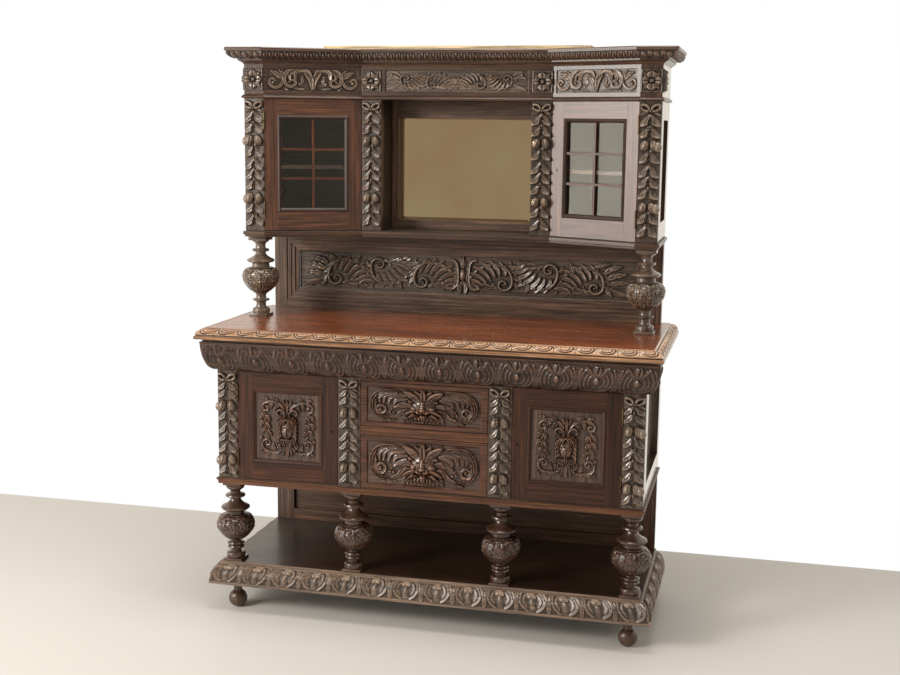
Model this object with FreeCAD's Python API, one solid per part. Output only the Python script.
import FreeCAD, Part
import math
import os

# A carved oak buffet: an open pot shelf on turned columns, a lower case with two doors
# and two drawers, a worktop, and an upper case with canted glazed doors and a mirror.
# Millimetres. X runs to the right, depth runs forward from the back plane, Z runs up.

# Main sizes of the lower half
caseWidth = 1486
caseDepth = 581
footHeight = 101
platformHeight = 78
lowerColumnHeight = 291
caseFloorThickness = 24
lowerOpeningHeight = 383
friezeHeight = 115
worktopThickness = 37
worktopSideOverhang = 57
worktopFrontOverhang = 69

# Main sizes of the upper half
upperWidth = 1474
outerPilasterDepth = 324
innerPilasterDepth = 172
upperColumnHeight = 292
upperFloorThickness = 23
upperOpeningHeight = 469
neckingHeight = 14
upperFriezeHeight = 105
corniceHeight = 57
upperPilasterWidth = 73
mirrorBayWidth = 548

# Clearances and cutting allowances
overrun = 200
doorGap = 1.5
slideClearance = 0.3
pinClearance = 0.05

# Feet and base
ballRadius = 33
footFlatRadius = 12
footNeckRadius = 15
footSideInset = 42
footFrontInset = 37
footRearInset = 60
footBlockSide = 64
platformSideLedge = 2
platformFrontSetback = 22
platformBoardThickness = 22
platformRailThickness = 20
baseMouldingProjection = 38
baseMouldingLip = 9
baseMouldingFillet = 4
baseMouldingCrown = 7
baseMouldingStep = 3

# Turned columns
columnPlinthSide = 68
columnPlinthHeight = 9
columnBlockHeight = 15
columnNeckRadius = 17.5
columnFootRadius = 33
columnRingRadius = 31
columnTopRingRadius = 33
columnDiscRadius = 50
columnCollarRadius = 31
columnUrnRadius = 63.5
columnCymaRadius = 33
upperColumnDepth = 276

# Boards and frames
backThickness = 22
backStileWidth = 70
backRailWidth = 44
backPanelThickness = 8
caseBackThickness = 12
sideThickness = 34
sideStileWidth = 60
sideRailWidth = 62
sidePanelThickness = 8
sidePanelRecess = 22
partitionThickness = 22
pilasterThickness = 28
outerPilasterWidth = 73
innerPilasterWidth = 80
drawerBayWidth = 446
subtopThickness = 18
caseMouldingProjection = 8
caseMouldingFillet = 3

# Frieze and worktop edges
friezeThickness = 22
friezeBulge = 46
friezeNeck = 38
friezeNeckHeight = 12
edgeFlatInset = 34
edgeStepHeight = 3
edgeStepWidth = 6
edgeFilletHeight = 11

# Doors of the lower case
doorThickness = 22
lowerStileWidth = 52
lowerTopRailWidth = 57
lowerBottomRailWidth = 60
sightMouldingWidth = 14
sightMouldingProud = 3
sightMouldingBack = 6
panelThickness = 12
panelSetback = 5

# Glazed doors
glazedStileWidth = 47
glazedTopRailWidth = 57
glazedBottomRailWidth = 66
muntinWidth = 9
muntinThickness = 10
glassThickness = 3
glassSetback = 13
shelfThickness = 14
shelfHeight = 220
shelfFrontClearance = 4

# Hinges and locks
hingePinRadius = 1.6
hingeKnuckleRadius = 3.5
hingeKnuckleClearance = 0.4
hingePinProud = 2
hingeHeight = 62
hingeInset = 46
hingeLeafThickness = 1.6
hingeLeafWidth = 20
boltLength = 30
boltHeight = 14
boltThickness = 5
boltTravel = 7
boltRise = 13
strikeClearance = 0.6
lowerKeyholeInset = 20
glazedKeyholeInset = 25
keyholeRadius = 2.2
keyholeSlotWidth = 2.6
keyholeSlotHeight = 8
keyholeDepth = 7

# Drawers
lowerDrawerOpening = 186
drawerRailHeight = 31
drawerTopRailHeight = 10
drawerFrontThickness = 22
drawerSideThickness = 12
drawerBottomThickness = 6
drawerBottomRise = 5
drawerRearSetback = 60
drawerSideDrop = 14
drawerFieldSideMargin = 22
drawerFieldEdgeMargin = 14
drawerFieldDepth = 5
runnerThickness = 16
guideHeight = 40
fieldBevel = 4

# Splash back
splashDepth = 41
splashStileWidth = 49
splashRailWidth = 29
splashMouldingWidth = 45
splashMouldingSteps = 3
splashStepDepth = 4
splashPanelThickness = 10
splashFrameThickness = 22

# Mirror
mirrorFrameThickness = 20
mirrorSideWidth = 25
mirrorTopWidth = 62
mirrorBottomWidth = 34
mirrorGlassThickness = 5
mirrorRebate = 8
mirrorBevel = 18
mirrorBevelDepth = 2

# Upper frieze and cornice
upperFriezeThickness = 22
friezePanelMargin = 14
friezePanelDepth = 5
friezeBlockProud = 3
neckingProjection = 9
corniceCove = 17
corniceFillet = 6
corniceOvoloStart = 22
corniceOvoloEnd = 46
corniceProjection = 52
corniceCrown = 13
corniceBandHeight = 25
topBoardThickness = 12
topBoardWidth = 960
topBoardDepth = 205

# Heights worked out from the main sizes
baseTop = footHeight + platformHeight
caseUnderside = baseTop + lowerColumnHeight
caseFloor = caseUnderside + caseFloorThickness
openingTop = caseFloor + lowerOpeningHeight
worktopUnderside = openingTop + friezeHeight
worktopTop = worktopUnderside + worktopThickness
upperUnderside = worktopTop + upperColumnHeight
upperFloor = upperUnderside + upperFloorThickness
upperOpeningTop = upperFloor + upperOpeningHeight
neckingTop = upperOpeningTop + neckingHeight
corniceFoot = neckingTop + upperFriezeHeight
corniceTop = corniceFoot + corniceHeight

# Widths and depths worked out from the main sizes
caseHalf = caseWidth / 2
upperHalf = upperWidth / 2
bayHalf = drawerBayWidth / 2
mirrorHalf = mirrorBayWidth / 2
platformHalf = caseHalf + platformSideLedge
platformDepth = caseDepth - platformFrontSetback
outerPilasterEdge = caseHalf - outerPilasterWidth
innerPilasterEdge = bayHalf + innerPilasterWidth
upperOuterEdge = upperHalf - upperPilasterWidth
upperInnerEdge = mirrorHalf + upperPilasterWidth
backY = (caseDepth + worktopFrontOverhang) / 2
pilasterBack = caseDepth - pilasterThickness
drawerOpeningFoot = caseFloor
drawerRailFoot = caseFloor + lowerDrawerOpening
upperDrawerFoot = drawerRailFoot + drawerRailHeight
upperDrawerTop = openingTop - drawerTopRailHeight

# The cant runs from the inner edge of the outer pilaster back to the inner pilaster
cantX = upperInnerEdge - upperOuterEdge
cantDepth = outerPilasterDepth - innerPilasterDepth
cantLength = math.hypot(cantX, cantDepth)
cantAngle = math.degrees(math.atan2(cantDepth, cantX))

Vector = FreeCAD.Vector
upAxis = Vector(0, 0, 1)
origin = Vector(0, 0, 0)


# Basic solids

def slab(x0, x1, depth0, depth1, z0, z1):
    corner = Vector(x0, -depth1, z0)
    return Part.makeBox(x1 - x0, depth1 - depth0, z1 - z0, corner)


def planPrism(points, z0, z1):
    corners = [Vector(x, -depth, z0) for x, depth in points]
    face = Part.Face(Part.makePolygon(corners + corners[:1]))
    return face.extrude(Vector(0, 0, z1 - z0))


def mirrored(shape):
    return shape.mirror(origin, Vector(1, 0, 0))


def traced(start, steps, place):
    # Each step is one point for a straight edge, or a middle and an end point for an arc
    edges = []
    here = place(*start)
    for step in steps:
        there = place(*step[-1])
        if len(step) == 1:
            edges.append(Part.makeLine(here, there))
        else:
            edges.append(Part.Arc(here, place(*step[0]), there).toShape())
        here = there
    if here.distanceToPoint(place(*start)) > 0:
        edges.append(Part.makeLine(here, place(*start)))
    return Part.Face(Part.Wire(edges))


def save(name, solids):
    moved = []
    for solid in solids:
        placed = solid.copy()
        placed.translate(Vector(0, backY, 0))
        moved.append(placed)
    shape = moved[0] if len(moved) == 1 else Part.makeCompound(moved)
    shape.exportStep("parts/" + name + ".step")


def savePair(name, solids):
    save(name + "_right", solids)
    save(name + "_left", [mirrored(solid) for solid in solids])


# Mouldings that follow a plan line, mitred at its corners

def mitreAt(plan, index):
    normals = []
    for first in (index - 1, index):
        if 0 <= first < len(plan) - 1:
            normals.append(outwardNormal(plan[first], plan[first + 1]))
    if len(normals) == 1:
        return normals[0]
    dot = normals[0][0] * normals[1][0] + normals[0][1] * normals[1][1]
    return ((normals[0][0] + normals[1][0]) / (1 + dot), (normals[0][1] + normals[1][1]) / (1 + dot))


def outwardNormal(first, second):
    runX = second[0] - first[0]
    runDepth = second[1] - first[1]
    length = math.hypot(runX, runDepth)
    return (-runDepth / length, runX / length)


def offsetPoint(point, mitre, offset):
    return (point[0] + mitre[0] * offset, point[1] + mitre[1] * offset)


def mitredRuns(plan, start, steps):
    offsets = [point[0] for step in steps for point in step] + [start[0]]
    heights = [point[1] for step in steps for point in step] + [start[1]]
    inner = min(offsets)
    outer = max(offsets)
    runs = []
    for index in range(len(plan) - 1):
        first = plan[index]
        second = plan[index + 1]
        normal = outwardNormal(first, second)
        along = (normal[1], -normal[0])
        length = math.hypot(second[0] - first[0], second[1] - first[1])

        def place(offset, z):
            x = first[0] + normal[0] * offset - along[0] * overrun
            depth = first[1] + normal[1] * offset - along[1] * overrun
            return Vector(x, -depth, z)

        reach = length + overrun + overrun
        bar = traced(start, steps, place).extrude(Vector(along[0] * reach, -along[1] * reach, 0))
        mitreA = mitreAt(plan, index)
        mitreB = mitreAt(plan, index + 1)
        region = [
            offsetPoint(first, mitreA, inner),
            offsetPoint(first, mitreA, outer),
            offsetPoint(second, mitreB, outer),
            offsetPoint(second, mitreB, inner),
        ]
        runs.append(bar.common(planPrism(region, min(heights), max(heights))))
    return runs


lowerPlan = [(-caseHalf, 0), (-caseHalf, caseDepth), (caseHalf, caseDepth), (caseHalf, 0)]
platformPlan = [
    (-platformHalf, 0),
    (-platformHalf, platformDepth),
    (platformHalf, platformDepth),
    (platformHalf, 0),
]
upperPlanRight = [
    (upperInnerEdge, innerPilasterDepth),
    (upperOuterEdge, outerPilasterDepth),
    (upperHalf, outerPilasterDepth),
    (upperHalf, 0),
]
upperPlan = [(-x, depth) for x, depth in reversed(upperPlanRight)] + upperPlanRight


# Feet and base

def ballFoot(x, depth):
    centre = math.sqrt(ballRadius ** 2 - footFlatRadius ** 2)
    neck = centre + math.sqrt(ballRadius ** 2 - footNeckRadius ** 2)

    def place(radius, z):
        return Vector(x + radius, -depth, z)

    steps = [
        [(footFlatRadius, 0)],
        [(ballRadius, centre), (footNeckRadius, neck)],
        [(footNeckRadius, footHeight)],
        [(0, footHeight)],
    ]
    return traced((0, 0), steps, place).revolve(Vector(x, -depth, 0), upAxis)


def footPlaces():
    side = platformHalf - footSideInset
    front = platformDepth - footFrontInset
    return [(sign * side, depth) for sign in (-1, 1) for depth in (front, footRearInset)]


def makeBase():
    save("ball_feet", [ballFoot(x, depth) for x, depth in footPlaces()])
    boardFoot = baseTop - platformBoardThickness
    inside = platformHalf - platformRailThickness
    front = platformDepth - platformRailThickness
    solids = [slab(-platformHalf, platformHalf, 0, platformDepth, boardFoot, baseTop)]
    solids.append(slab(-inside, inside, 0, platformRailThickness, footHeight, boardFoot))
    for sign in (-1, 1):
        x = sign * (inside - footBlockSide / 2)
        x0 = x - footBlockSide / 2
        x1 = x + footBlockSide / 2
        solids.append(slab(x0, x1, front - footBlockSide, front, footHeight, boardFoot))
        rearEnd = platformRailThickness + footRearInset
        solids.append(slab(x0, x1, platformRailThickness, rearEnd, footHeight, boardFoot))
    save("base_board", solids)
    crown = baseTop - baseMouldingFillet - baseMouldingFillet
    steps = [
        [(baseMouldingProjection, footHeight)],
        [(baseMouldingProjection, footHeight + baseMouldingLip)],
        [(baseMouldingProjection - baseMouldingCrown, boardFoot - baseMouldingLip),
         (baseMouldingCrown, crown - baseMouldingFillet)],
        [(baseMouldingCrown, crown)],
        [(baseMouldingStep, crown)],
        [(baseMouldingStep, baseTop)],
        [(0, baseTop)],
        [(0, boardFoot)],
        [(-platformRailThickness, boardFoot)],
    ]
    save("base_moulding", mitredRuns(platformPlan, (-platformRailThickness, footHeight), steps))


# Turned columns: radii in named sizes, heights as shares of the turned length

footShare = 0.06
lowerRingShares = (0.146, 0.196)
upperRingShares = (0.167,)
ringHalfShare = 0.028
urnBellyShares = ((0.74, 0.33), (1, 0.42), (1, 0.5), (0.8, 0.58))
urnFootShare = 0.245
collarShares = (0.608, 0.66)
discShare = 0.705
topRingShare = 0.85


def ringSteps(shares, radius):
    # Rings that stand close together meet in a valley half way between them
    steps = [[(columnNeckRadius, shares[0] - ringHalfShare)]]
    for index, share in enumerate(shares):
        if index:
            steps.append([(columnNeckRadius, (shares[index - 1] + share) / 2)])
        steps.append([(radius, share)])
    return steps


def columnSteps(ringShares, topRingRadius):
    steps = [[(columnFootRadius, 0)], [(columnFootRadius, footShare)]]
    steps += ringSteps(ringShares, columnRingRadius)
    steps.append([(columnNeckRadius, urnFootShare)])
    steps += [[(columnUrnRadius * share, height)] for share, height in urnBellyShares]
    steps += [[(columnCollarRadius, height)] for height in collarShares]
    steps.append([(columnDiscRadius, discShare)])
    steps += ringSteps((topRingShare,), topRingRadius)
    steps.append([(columnNeckRadius, topRingShare + ringHalfShare)])
    steps += [[(columnCymaRadius, 1)], [(0, 1)]]
    return steps


def column(x, depth, foot, height, steps):
    half = columnPlinthSide / 2
    turnedFoot = foot + columnPlinthHeight
    turned = height - columnPlinthHeight - columnBlockHeight
    top = foot + height

    def place(radius, share):
        return Vector(x + radius, -depth, turnedFoot + turned * share)

    shaft = traced((0, 0), steps, place).revolve(Vector(x, -depth, 0), upAxis)
    plinth = slab(x - half, x + half, depth - half, depth + half, foot, turnedFoot)
    block = slab(x - half, x + half, depth - half, depth + half, top - columnBlockHeight, top)
    return [plinth, shaft, block]


def makeColumns():
    lowerSteps = columnSteps(lowerRingShares, columnTopRingRadius)
    upperSteps = columnSteps(upperRingShares, columnRingRadius)
    depth = platformDepth - columnPlinthSide / 2
    outer = (caseHalf + outerPilasterEdge) / 2
    inner = (bayHalf + innerPilasterEdge) / 2
    savePair("column_lower_outer", column(outer, depth, baseTop, lowerColumnHeight, lowerSteps))
    savePair("column_lower_inner", column(inner, depth, baseTop, lowerColumnHeight, lowerSteps))
    upper = (upperHalf + upperOuterEdge) / 2
    savePair("column_upper", column(upper, upperColumnDepth, worktopTop, upperColumnHeight, upperSteps))


# Lower case

def makeLowerBack():
    inside = caseHalf - backStileWidth
    panelFoot = baseTop + backRailWidth
    panelTop = caseUnderside - backRailWidth
    solids = [
        slab(-caseHalf, -inside, 0, backThickness, baseTop, caseUnderside),
        slab(inside, caseHalf, 0, backThickness, baseTop, caseUnderside),
        slab(-inside, inside, 0, backThickness, baseTop, panelFoot),
        slab(-inside, inside, 0, backThickness, panelTop, caseUnderside),
        slab(-inside, inside, 0, backPanelThickness, panelFoot, panelTop),
    ]
    save("lower_back", solids)


def framedSide(outer, front, z0, z1, recess):
    # Two stiles and two rails round a thinner sunk panel, on the right-hand side
    inner = outer - sideThickness
    panelOut = outer - recess
    panelFoot = z0 + sideRailWidth
    panelTop = z1 - sideRailWidth
    near = front - sideStileWidth
    return [
        slab(inner, outer, 0, sideStileWidth, z0, z1),
        slab(inner, outer, near, front, z0, z1),
        slab(inner, outer, sideStileWidth, near, z0, panelFoot),
        slab(inner, outer, sideStileWidth, near, panelTop, z1),
        slab(panelOut - sidePanelThickness, panelOut, sideStileWidth, near, panelFoot, panelTop),
    ]


def makeLowerCase():
    inside = caseHalf - sideThickness
    partition = (bayHalf + innerPilasterEdge) / 2 + partitionThickness / 2
    frieze = caseDepth - friezeThickness
    boards = [
        slab(-caseHalf, caseHalf, 0, caseDepth, caseUnderside, caseFloor),
        slab(-inside, inside, caseBackThickness, frieze, openingTop, openingTop + subtopThickness),
    ]
    for x in (partition - partitionThickness, -partition):
        boards.append(slab(x, x + partitionThickness, caseBackThickness, pilasterBack, caseFloor, openingTop))
    save("case_boards", boards)
    middle = (caseUnderside + caseFloor) / 2
    steps = [
        [(caseMouldingFillet, caseUnderside)],
        [(caseMouldingFillet, caseUnderside + caseMouldingFillet)],
        [(caseMouldingFillet + caseMouldingFillet / 2, middle),
         (caseMouldingProjection, caseFloor - caseMouldingProjection)],
        [(caseMouldingProjection, caseFloor - caseMouldingFillet)],
        [(0, caseFloor - caseMouldingFillet)],
    ]
    save("case_bottom_moulding", mitredRuns(lowerPlan, (0, caseUnderside), steps))
    savePair("case_side", framedSide(caseHalf, pilasterBack, caseFloor, worktopUnderside, sidePanelRecess))
    save("case_back", [slab(-inside, inside, 0, caseBackThickness, caseFloor, worktopUnderside)])
    outer = slab(outerPilasterEdge, caseHalf, pilasterBack, caseDepth, caseFloor, openingTop)
    inner = slab(bayHalf, innerPilasterEdge, pilasterBack, caseDepth, caseFloor, openingTop)
    savePair("lower_pilaster_outer", [outer.cut(Part.makeCompound(lowerHinges("notches")))])
    strike = lowerDoorLocal(strikeCut(lowerDoorWidth(), lowerKeyholeHeight()))
    savePair("lower_pilaster_inner", [inner.cut(strike)])


def makeDrawerRails():
    partition = (bayHalf + innerPilasterEdge) / 2 - partitionThickness / 2
    runnerFoot = upperDrawerFoot - runnerThickness
    solids = [
        slab(-bayHalf, bayHalf, pilasterBack, caseDepth, drawerRailFoot, upperDrawerFoot),
        slab(-bayHalf, bayHalf, pilasterBack, caseDepth, upperDrawerTop, openingTop),
    ]
    for sign in (-1, 1):
        ends = sorted((sign * (bayHalf - runnerThickness), sign * partition))
        solids.append(slab(ends[0], ends[1], caseBackThickness, pilasterBack, runnerFoot, upperDrawerFoot))
        guides = sorted((sign * bayHalf, sign * partition))
        for foot in (caseFloor, upperDrawerFoot):
            top = foot + guideHeight
            solids.append(slab(guides[0], guides[1], caseBackThickness, pilasterBack, foot, top))
    save("drawer_rails", solids)


def makeFrieze():
    front = openingTop
    neck = worktopUnderside - friezeNeckHeight
    belly = neck - friezeNeckHeight
    wall = -friezeThickness
    plan = [
        (-caseHalf, caseDepth - friezeBulge),
        (-caseHalf, caseDepth),
        (caseHalf, caseDepth),
        (caseHalf, caseDepth - friezeBulge),
    ]
    curve = [(friezeBulge - friezeThickness / 2, front + friezeHeight / 3), (friezeBulge, belly)]
    steps = [
        curve,
        [(friezeBulge, neck)],
        [(friezeNeck, neck)],
        [(friezeNeck, worktopUnderside)],
        [(0, worktopUnderside)],
    ]
    runs = mitredRuns(plan, (0, front), steps)
    core = slab(-caseHalf, caseHalf, caseDepth + wall, caseDepth, front, worktopUnderside)
    save("frieze_moulding", [core] + runs)


def makeWorktop():
    half = caseHalf + worktopSideOverhang
    front = caseDepth + worktopFrontOverhang
    plan = [(-half + edgeFlatInset, 0), (-half + edgeFlatInset, front - edgeFlatInset),
            (half - edgeFlatInset, front - edgeFlatInset), (half - edgeFlatInset, 0)]
    lip = worktopUnderside + edgeFilletHeight
    step = worktopTop - edgeStepHeight
    steps = [
        [(edgeFlatInset, worktopUnderside)],
        [(edgeFlatInset, lip)],
        [(edgeFlatInset - edgeStepWidth, lip + edgeFilletHeight), (edgeStepWidth, step)],
        [(0, step)],
    ]
    inner = half - edgeFlatInset
    board = slab(-inner, inner, 0, front - edgeFlatInset, worktopUnderside, worktopTop)
    save("worktop", [board] + mitredRuns(plan, (0, worktopUnderside), steps))


# Doors are drawn in their own frame: u along the door from the hinge edge, w outwards

def lowerDoorWidth():
    return outerPilasterEdge - innerPilasterEdge


def lowerKeyholeHeight():
    return (caseFloor + openingTop) / 2


def glazedKeyholeHeight():
    return (upperFloor + upperOpeningTop) / 2


def lowerDoorLocal(shape):
    placed = shape.copy()
    placed.rotate(origin, upAxis, 180)
    placed.translate(Vector(outerPilasterEdge, -caseDepth, 0))
    return placed


def glazedDoorLocal(shape):
    placed = shape.copy()
    placed.rotate(origin, upAxis, cantAngle)
    placed.translate(Vector(upperOuterEdge, -outerPilasterDepth, 0))
    return placed


def localBox(u0, u1, w0, w1, z0, z1):
    return Part.makeBox(u1 - u0, w1 - w0, z1 - z0, Vector(u0, w0, z0))


def pinAt(radius, z0, z1):
    return Part.makeCylinder(radius, z1 - z0, Vector(doorGap / 2, hingePinProud, z0))


def knuckleRoom(z0, z1):
    reach = hingeKnuckleRadius + hingeKnuckleClearance
    centre = doorGap / 2
    return localBox(centre - reach, centre + reach, hingePinProud - reach, hingePinProud + reach, z0, z1)


def fixedLeaf(z0):
    middle = z0 + hingeHeight / 2
    top = z0 + hingeHeight
    leaf = localBox(-hingeLeafThickness, 0, -hingeLeafWidth, hingePinProud, z0, top)
    leaf = leaf.cut(knuckleRoom(middle, top))
    leaf = leaf.fuse(pinAt(hingeKnuckleRadius, z0, middle))
    pin = pinAt(hingePinRadius, middle, top)
    return leaf.fuse(pin).removeSplitter()


def movingLeaf(z0):
    middle = z0 + hingeHeight / 2
    top = z0 + hingeHeight
    leaf = localBox(doorGap, doorGap + hingeLeafThickness, -hingeLeafWidth, hingePinProud, z0, top)
    leaf = leaf.cut(knuckleRoom(z0, middle + slideClearance))
    leaf = leaf.fuse(pinAt(hingeKnuckleRadius, middle + slideClearance, top))
    return leaf.cut(pinAt(hingePinRadius + pinClearance, middle, top)).removeSplitter()


def hingeNotch(z0):
    top = z0 + hingeHeight
    reach = doorGap + hingeLeafThickness
    leaves = localBox(-hingeLeafThickness, reach, -hingeLeafWidth, hingePinProud, z0, top)
    return leaves.fuse(pinAt(hingeKnuckleRadius + hingeKnuckleClearance, z0, top))


def hingeSet(kind, floor, ceiling):
    make = {"fixed": fixedLeaf, "moving": movingLeaf, "notches": hingeNotch}[kind]
    return [make(floor + hingeInset), make(ceiling - hingeInset - hingeHeight)]


def lowerHinges(kind):
    return [lowerDoorLocal(shape) for shape in hingeSet(kind, caseFloor, openingTop)]


def glazedHinges(kind):
    return [glazedDoorLocal(shape) for shape in hingeSet(kind, upperFloor, upperOpeningTop)]


def boltBox(edge, keyhole, grow, tail, nose):
    z = keyhole + boltRise
    w = -doorThickness / 2
    halfThickness = boltThickness / 2 + grow
    halfHeight = boltHeight / 2 + grow
    back = w - halfThickness
    face = w + halfThickness
    return localBox(edge - boltLength - tail, edge + nose, back, face, z - halfHeight, z + halfHeight)


def strikeCut(width, keyhole):
    return boltBox(width, keyhole, strikeClearance, 0, boltTravel)


def lockBolt(width, keyhole):
    return boltBox(width - doorGap, keyhole, 0, 0, 0)


def lockCuts(width, keyhole, inset):
    mortise = boltBox(width - doorGap, keyhole, slideClearance, slideClearance, overrun)
    u = width - inset
    eye = Part.makeCylinder(keyholeRadius, keyholeDepth, Vector(u, -keyholeDepth, keyhole), Vector(0, 1, 0))
    half = keyholeSlotWidth / 2
    slot = localBox(u - half, u + half, -keyholeDepth, 0, keyhole - keyholeSlotHeight, keyhole)
    return Part.makeCompound([mortise, eye.fuse(slot)])


def framedLengths(x0, x1, z0, z1, outline):
    # Four mitred lengths round a rectangle; the outline is (distance in from the edge, y)
    insets = [inset for inset, y in outline]
    faces = [y for inset, y in outline]
    width = max(insets)
    near = min(faces)
    deep = max(faces) - near
    sections = [
        ([Vector(x0, y, z0 + inset) for inset, y in outline], Vector(x1 - x0, 0, 0)),
        ([Vector(x1 - inset, y, z0) for inset, y in outline], Vector(0, 0, z1 - z0)),
        ([Vector(x0, y, z1 - inset) for inset, y in outline], Vector(x1 - x0, 0, 0)),
        ([Vector(x0 + inset, y, z0) for inset, y in outline], Vector(0, 0, z1 - z0)),
    ]
    outer = [(x0, z0), (x1, z0), (x1, z1), (x0, z1)]
    inner = [
        (x0 + width, z0 + width),
        (x1 - width, z0 + width),
        (x1 - width, z1 - width),
        (x0 + width, z1 - width),
    ]
    lengths = []
    for index, (corners, run) in enumerate(sections):
        after = (index + 1) % len(outer)
        bar = Part.Face(Part.makePolygon(corners + corners[:1])).extrude(run)
        ends = [Vector(x, near, z) for x, z in (outer[index], outer[after], inner[after], inner[index])]
        region = Part.Face(Part.makePolygon(ends + ends[:1])).extrude(Vector(0, deep, 0))
        lengths.append(bar.common(region))
    return lengths


def sightMoulding(u0, u1, z0, z1):
    # Lines the opening of a door frame, proud of its face
    back = -doorThickness + sightMouldingBack
    outline = [
        (0, back),
        (0, 0),
        (sightMouldingWidth / 3, sightMouldingProud),
        (sightMouldingWidth * 2 / 3, sightMouldingProud / 2),
        (sightMouldingWidth, -sightMouldingProud),
        (sightMouldingWidth, back),
    ]
    return framedLengths(u0, u1, z0, z1, outline)


def doorFrame(width, z0, z1, stile, topRail, bottomRail):
    u0 = doorGap
    u1 = width - doorGap
    foot = z0 + doorGap
    top = z1 - doorGap
    return [
        localBox(u0, u0 + stile, -doorThickness, 0, foot, top),
        localBox(u1 - stile, u1, -doorThickness, 0, foot, top),
        localBox(u0 + stile, u1 - stile, -doorThickness, 0, top - topRail, top),
        localBox(u0 + stile, u1 - stile, -doorThickness, 0, foot, foot + bottomRail),
    ]


def makeLowerDoors():
    width = lowerDoorWidth()
    keyhole = lowerKeyholeHeight()
    frame = doorFrame(width, caseFloor, openingTop, lowerStileWidth, lowerTopRailWidth, lowerBottomRailWidth)
    notches = Part.makeCompound(hingeSet("notches", caseFloor, openingTop))
    frame[0] = frame[0].cut(notches)
    frame[1] = frame[1].cut(lockCuts(width, keyhole, lowerKeyholeInset))
    u0 = doorGap + lowerStileWidth
    u1 = width - doorGap - lowerStileWidth
    foot = caseFloor + doorGap + lowerBottomRailWidth
    top = openingTop - doorGap - lowerTopRailWidth
    frame += sightMoulding(u0, u1, foot, top)
    savePair("lower_door_frame", [lowerDoorLocal(solid) for solid in frame])
    inset = sightMouldingWidth
    back = -panelSetback - panelThickness
    panel = localBox(u0 + inset, u1 - inset, back, -panelSetback, foot + inset, top - inset)
    savePair("lower_door_panel", [lowerDoorLocal(panel)])
    savePair("lower_door_hinges", lowerHinges("moving"))
    savePair("lower_lock_bolt", [lowerDoorLocal(lockBolt(width, keyhole))])


def makeGlazedDoors():
    width = cantLength
    keyhole = glazedKeyholeHeight()
    rails = (glazedTopRailWidth, glazedBottomRailWidth)
    frame = doorFrame(width, upperFloor, upperOpeningTop, glazedStileWidth, *rails)
    frame[0] = frame[0].cut(Part.makeCompound(hingeSet("notches", upperFloor, upperOpeningTop)))
    frame[1] = frame[1].cut(lockCuts(width, keyhole, glazedKeyholeInset))
    u0 = doorGap + glazedStileWidth
    u1 = width - doorGap - glazedStileWidth
    foot = upperFloor + doorGap + glazedBottomRailWidth
    top = upperOpeningTop - doorGap - glazedTopRailWidth
    frame += sightMoulding(u0, u1, foot, top)
    inset = sightMouldingWidth
    sight = (u0 + inset, u1 - inset, foot + inset, top - inset)
    face = -sightMouldingProud
    middle = (u0 + u1) / 2
    half = muntinWidth / 2
    bars = [localBox(middle - half, middle + half, face - muntinThickness, face, sight[2], sight[3])]
    for index in (1, 2):
        z = sight[2] + (sight[3] - sight[2]) * index / 3
        bars.append(localBox(sight[0], middle - half, face - muntinThickness, face, z - half, z + half))
        bars.append(localBox(middle + half, sight[1], face - muntinThickness, face, z - half, z + half))
    savePair("glazed_door_frame", [glazedDoorLocal(solid) for solid in frame + bars])
    glass = localBox(sight[0], sight[1], -glassSetback - glassThickness, -glassSetback, sight[2], sight[3])
    savePair("glazed_door_glass", [glazedDoorLocal(glass)])
    savePair("glazed_door_hinges", glazedHinges("moving"))
    savePair("glazed_lock_bolt", [glazedDoorLocal(lockBolt(width, keyhole))])


def makeCaseHinges():
    leaves = lowerHinges("fixed") + glazedHinges("fixed")
    save("hinge_leaves_fixed", leaves + [mirrored(leaf) for leaf in leaves])


# Drawers

def drawerFront(foot, top):
    half = bayHalf - doorGap
    back = caseDepth - drawerFrontThickness
    front = slab(-half, half, back, caseDepth, foot + doorGap, top - doorGap)
    side = half - drawerFieldSideMargin
    low = foot + doorGap + drawerFieldEdgeMargin
    high = top - doorGap - drawerFieldEdgeMargin
    outer = [(-side, low), (side, low), (side, high), (-side, high)]
    slopes = []
    for depth, inset in ((caseDepth, 0), (caseDepth - drawerFieldDepth, fieldBevel)):
        inner = [(outer[0][0] + inset, outer[0][1] + inset), (outer[1][0] - inset, outer[1][1] + inset),
                 (outer[2][0] - inset, outer[2][1] - inset), (outer[3][0] + inset, outer[3][1] - inset)]
        corners = [Vector(x, -depth, z) for x, z in inner]
        slopes.append(Part.makePolygon(corners + corners[:1]))
    return front.cut(Part.makeLoft(slopes, True, True))


def drawerBox(foot, top):
    half = bayHalf - doorGap
    front = caseDepth - drawerFrontThickness
    z0 = foot + slideClearance
    z1 = top - drawerSideDrop
    inner = half - drawerSideThickness
    rear = drawerRearSetback + drawerSideThickness
    floor = z0 + drawerBottomRise
    return [
        slab(-half, -inner, drawerRearSetback, front, z0, z1),
        slab(inner, half, drawerRearSetback, front, z0, z1),
        slab(-inner, inner, drawerRearSetback, rear, floor + drawerBottomThickness, z1),
        slab(-inner, inner, drawerRearSetback, front, floor, floor + drawerBottomThickness),
    ]


def makeDrawers():
    openings = {"lower": (drawerOpeningFoot, drawerRailFoot), "upper": (upperDrawerFoot, upperDrawerTop)}
    for name, (foot, top) in openings.items():
        save("drawer_front_" + name, [drawerFront(foot, top)])
        save("drawer_box_" + name, drawerBox(foot, top))


# Splash back

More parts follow.
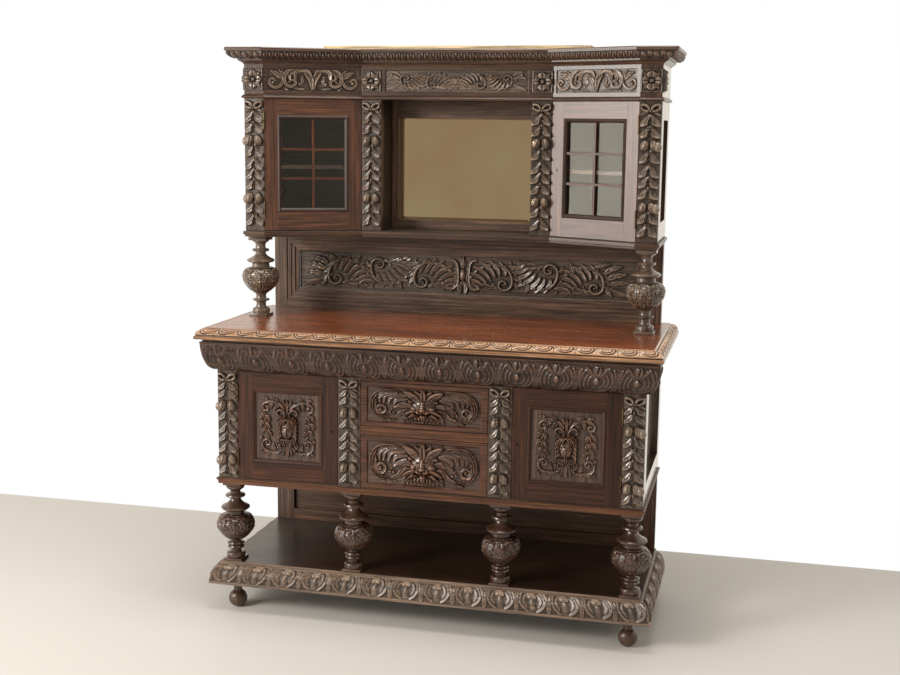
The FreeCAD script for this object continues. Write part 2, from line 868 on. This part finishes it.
def splashMoulding(half, foot, top):
    # A stepped face that falls from the frame to the panel
    pitch = splashMouldingWidth / splashMouldingSteps
    back = splashFrameThickness - splashDepth
    outline = [(0, back)]
    for step in range(splashMouldingSteps):
        face = splashStepDepth * (step + 1) - splashDepth
        outline.append((pitch * step, face))
        outline.append((pitch * (step + 1), face))
    outline.append((splashMouldingWidth, back))
    return framedLengths(-half, half, foot, top, outline)


def makeSplashBack():
    inside = upperHalf - splashStileWidth
    foot = worktopTop + splashRailWidth
    top = upperUnderside - splashRailWidth
    solids = [
        slab(-upperHalf, -inside, 0, splashDepth, worktopTop, upperUnderside),
        slab(inside, upperHalf, 0, splashDepth, worktopTop, upperUnderside),
        slab(-inside, inside, 0, splashDepth, worktopTop, foot),
        slab(-inside, inside, 0, splashDepth, top, upperUnderside),
    ]
    save("splash_frame", solids + splashMoulding(inside, foot, top))
    front = splashDepth - splashFrameThickness
    panel = slab(-inside, inside, front - splashPanelThickness, front, foot, top)
    save("splash_panel", [panel])


# Upper case

def upperBoard(z0, z1):
    # A middle board and two wider end boards, butted where the cants begin
    end = [(upperInnerEdge, 0)] + upperPlanRight
    ends = planPrism(end, z0, z1)
    middle = slab(-upperInnerEdge, upperInnerEdge, 0, innerPilasterDepth, z0, z1)
    return [mirrored(ends), middle, ends]


def makeUpperCase():
    partitionFront = innerPilasterDepth - pilasterThickness
    boards = upperBoard(upperUnderside, upperFloor) + upperBoard(upperOpeningTop, neckingTop)
    for x0 in (mirrorHalf, -mirrorHalf - partitionThickness):
        x1 = x0 + partitionThickness
        boards.append(slab(x0, x1, caseBackThickness, partitionFront, upperFloor, upperOpeningTop))
    save("upper_boards", boards)
    base = [
        [(caseMouldingFillet, upperUnderside)],
        [(caseMouldingFillet, upperUnderside + caseMouldingProjection)],
        [(caseMouldingProjection, upperUnderside + caseMouldingProjection)],
        [(caseMouldingProjection, upperFloor - caseMouldingFillet)],
        [(0, upperFloor - caseMouldingFillet)],
    ]
    necking = [
        [(caseMouldingFillet, upperOpeningTop)],
        [(neckingProjection, upperOpeningTop + caseMouldingFillet)],
        [(neckingProjection / 2, neckingTop - caseMouldingFillet), (0, neckingTop)],
    ]
    mouldings = mitredRuns(upperPlan, (0, upperUnderside), base)
    mouldings += mitredRuns(upperPlan, (0, upperOpeningTop), necking)
    save("upper_mouldings", mouldings)
    front = outerPilasterDepth - pilasterThickness
    savePair("upper_side", framedSide(upperHalf, front, upperFloor, upperOpeningTop, sidePanelRecess))
    inside = upperHalf - sideThickness
    save("upper_back", [slab(-inside, inside, 0, caseBackThickness, upperFloor, upperOpeningTop)])


def cantPoint(along, inward):
    # A point at a distance along the cant from the outer pilaster, and behind its face
    share = along / cantLength
    x = upperOuterEdge + cantX * share + inward * cantDepth / cantLength
    depth = outerPilasterDepth - cantDepth * share + inward * cantX / cantLength
    return (x, depth)


def makeUpperPilasters():
    back = outerPilasterDepth - pilasterThickness
    outer = planPrism([
        (upperOuterEdge, outerPilasterDepth),
        (upperHalf, outerPilasterDepth),
        (upperHalf, back),
        cantPoint(0, pilasterThickness),
    ], upperFloor, upperOpeningTop)
    outer = outer.cut(Part.makeCompound(glazedHinges("notches")))
    savePair("upper_pilaster_outer", [outer])
    rear = innerPilasterDepth - pilasterThickness
    inner = planPrism([
        (mirrorHalf, rear),
        (mirrorHalf, innerPilasterDepth),
        (upperInnerEdge, innerPilasterDepth),
        cantPoint(cantLength, pilasterThickness),
    ], upperFloor, upperOpeningTop)
    inner = inner.cut(glazedDoorLocal(strikeCut(cantLength, glazedKeyholeHeight())))
    savePair("upper_pilaster_inner", [inner])


def makeShelves():
    # Each shelf fits inside the side, the partition and a line behind the canted door
    side = upperHalf - sideThickness
    partition = mirrorHalf + partitionThickness
    start = cantPoint(0, pilasterThickness + shelfFrontClearance)
    slope = cantDepth / -cantX
    rear = outerPilasterDepth - pilasterThickness - shelfFrontClearance
    inner = innerPilasterDepth - pilasterThickness - shelfFrontClearance
    points = [
        (partition, caseBackThickness),
        (side, caseBackThickness),
        (side, rear),
        (start[0] + (rear - start[1]) / slope, rear),
        (start[0] + (inner - start[1]) / slope, inner),
        (partition, inner),
    ]
    foot = upperFloor + shelfHeight
    shelf = planPrism(points, foot, foot + shelfThickness)
    save("upper_shelves", [shelf, mirrored(shelf)])


def makeUpperFrieze():
    steps = [
        [(0, neckingTop)],
        [(0, corniceTop)],
        [(-upperFriezeThickness, corniceTop)],
    ]
    runs = mitredRuns(upperPlan, (-upperFriezeThickness, neckingTop), steps)
    z0 = neckingTop + friezePanelMargin
    z1 = corniceFoot - friezePanelMargin
    # Sunk fields in the middle run and in the two canted runs
    half = mirrorHalf - friezePanelMargin
    field = slab(-half, half, innerPilasterDepth - friezePanelDepth, innerPilasterDepth + overrun, z0, z1)
    cant = localBox(friezePanelMargin, cantLength - friezePanelMargin, -friezePanelDepth, overrun, z0, z1)
    cant = glazedDoorLocal(cant)
    fields = {2: mirrored(cant), 3: field, 4: cant}
    for index, cutter in fields.items():
        runs[index] = runs[index].cut(cutter)
    blocks = []
    faces = [
        (upperOuterEdge, upperHalf, outerPilasterDepth),
        (mirrorHalf, upperInnerEdge, innerPilasterDepth),
    ]
    for x0, x1, depth in faces:
        blocks.append(slab(x0, x1, depth, depth + friezeBlockProud, z0, z1))
    side = outerPilasterDepth - upperPilasterWidth
    blocks.append(slab(upperHalf, upperHalf + friezeBlockProud, side, outerPilasterDepth, z0, z1))
    save("upper_frieze", runs + blocks + [mirrored(block) for block in blocks])


def makeCornice():
    cove = corniceFoot + corniceHeight - corniceCrown - corniceBandHeight - corniceFillet
    band = cove + corniceFillet
    crown = corniceTop - corniceCrown
    steps = [
        [(corniceCove / 3, corniceFoot + corniceCove / 3), (corniceCove, cove)],
        [(corniceCove, band)],
        [(corniceOvoloStart, band)],
        [(corniceOvoloEnd - corniceFillet, (band + crown) / 2), (corniceOvoloEnd, crown)],
        [(corniceProjection, crown)],
        [(corniceProjection, corniceTop)],
        [(0, corniceTop)],
    ]
    save("cornice", mitredRuns(upperPlan, (0, corniceFoot), steps))
    half = topBoardWidth / 2
    save("top_board", [slab(-half, half, 0, topBoardDepth, corniceTop, corniceTop + topBoardThickness)])


# Mirror

def makeMirror():
    back = caseBackThickness
    front = back + mirrorFrameThickness
    foot = upperFloor + mirrorBottomWidth
    top = upperOpeningTop - mirrorTopWidth
    side = mirrorHalf - mirrorSideWidth
    rebateHalf = side + mirrorRebate
    face = back + mirrorGlassThickness
    rebate = slab(-rebateHalf, rebateHalf, back, face, foot - mirrorRebate, top + mirrorRebate)
    bars = [
        slab(-mirrorHalf, -side, back, front, upperFloor, upperOpeningTop),
        slab(side, mirrorHalf, back, front, upperFloor, upperOpeningTop),
        slab(-side, side, back, front, upperFloor, foot),
        slab(-side, side, back, front, top, upperOpeningTop),
    ]
    save("mirror_frame", [bar.cut(rebate) for bar in bars])
    edge = face - mirrorBevelDepth
    outlines = []
    for depth, grow in ((edge, 0), (face, -mirrorBevel)):
        half = rebateHalf + grow
        z0 = foot - mirrorRebate - grow
        z1 = top + mirrorRebate + grow
        corners = [Vector(x, -depth, z) for x, z in ((-half, z0), (half, z0), (half, z1), (-half, z1))]
        outlines.append(Part.makePolygon(corners + corners[:1]))
    bevel = Part.makeLoft(outlines, True, True)
    sheet = slab(-rebateHalf, rebateHalf, back, edge, foot - mirrorRebate, top + mirrorRebate)
    save("mirror_glass", [sheet.fuse(bevel).removeSplitter()])


os.makedirs("parts", exist_ok=True)
makeBase()
makeColumns()
makeLowerBack()
makeLowerCase()
makeDrawerRails()
makeFrieze()
makeWorktop()
makeLowerDoors()
makeGlazedDoors()
makeCaseHinges()
makeDrawers()
makeSplashBack()
makeUpperCase()
makeUpperPilasters()
makeShelves()
makeUpperFrieze()
makeCornice()
makeMirror()
